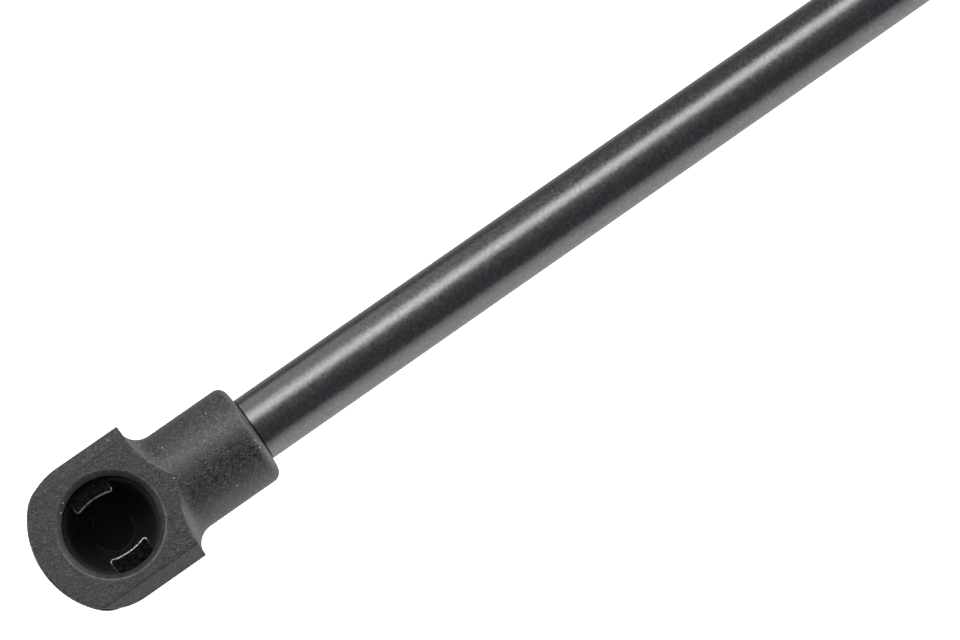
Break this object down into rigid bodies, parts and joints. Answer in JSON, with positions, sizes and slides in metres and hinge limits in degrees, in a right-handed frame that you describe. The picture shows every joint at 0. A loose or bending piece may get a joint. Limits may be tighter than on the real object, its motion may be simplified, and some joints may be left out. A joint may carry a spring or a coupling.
{
  "type": "gas strut stay",
  "caption": "Gas strut stay: sprung rod sliding in a sealed tube, with a composite ball socket and a pull-out spring clip on each end, to hold a window, flap or shutter open.",
  "frame": {"origin": "centre of the ball seat in the tube end's socket", "axes": "+X along the strut to the rod end, +Z out of the mouths of both ball sockets, +Y completes the right hand"},
  "size_m": [0.3504, 0.018, 0.018],
  "materials": {
    "socket_nylon": "moulded black glass-filled nylon, fine grain",
    "clip_spring_steel": "dark oiled spring steel, bright sheared edges",
    "rod_steel": "satin, dark salt-bath nitrided",
    "tube_paint": "satin black paint",
    "stud_zinc": "bright zinc plate",
    "plug_alloy": "turned",
    "washer_steel": "stamped, tumbled",
    "valve_spring_steel": "polished strip",
    "liner_bronze": "bored bronze",
    "guide_polymer": "moulded acetal",
    "spacer_nylon": "natural nylon",
    "ring_ptfe": "filled fluoropolymer",
    "seal_rubber": "oiled nitrile rubber",
    "wiper_rubber": "nitrile rubber"
  },
  "bodies": {
    "cylinder": {"pressure_tube": "tube_paint", "tube_end_plug": "plug_alloy", "end_plug_o_ring": "seal_rubber", "tube_end_stud": "stud_zinc", "tube_end_socket": "socket_nylon", "rod_guide_bush": "guide_polymer", "guide_liner": "liner_bronze", "rod_wiper": "wiper_rubber", "rod_lip_seal": "seal_rubber", "seal_support_washer": "washer_steel", "seal_spacer_sleeve": "spacer_nylon"},
    "tube_end_clip": {"tube_end_clip": "clip_spring_steel"},
    "piston_ring": {"piston_ring": "ring_ptfe"},
    "rod": {"piston_rod": "rod_steel", "piston_support_disc": "washer_steel", "piston_body": "plug_alloy", "piston_valve_disc": "valve_spring_steel", "piston_rivet_washer": "washer_steel", "rod_end_socket": "socket_nylon"},
    "rod_end_clip": {"rod_end_clip": "clip_spring_steel"}
  },
  "joints": [
    {"name": "rod_slide", "type": "slide", "parent": "cylinder", "child": "piston_ring", "axis": [1, 0, 0], "range_m": [-0.12, 0], "stiffness_N_per_m": 250, "springref_m": 0.4},
    {"name": "rod_spin", "type": "hinge", "parent": "piston_ring", "child": "rod", "pos_m": [0.16115, 0, 0], "axis": [1, 0, 0], "continuous": true},
    {"name": "tube_end_clip_release", "type": "slide", "parent": "cylinder", "child": "tube_end_clip", "axis": [-1, 0, 0], "range_m": [0, 0.003]},
    {"name": "rod_end_clip_release", "type": "slide", "parent": "rod", "child": "rod_end_clip", "axis": [1, 0, 0], "range_m": [0, 0.003]}
  ]
}
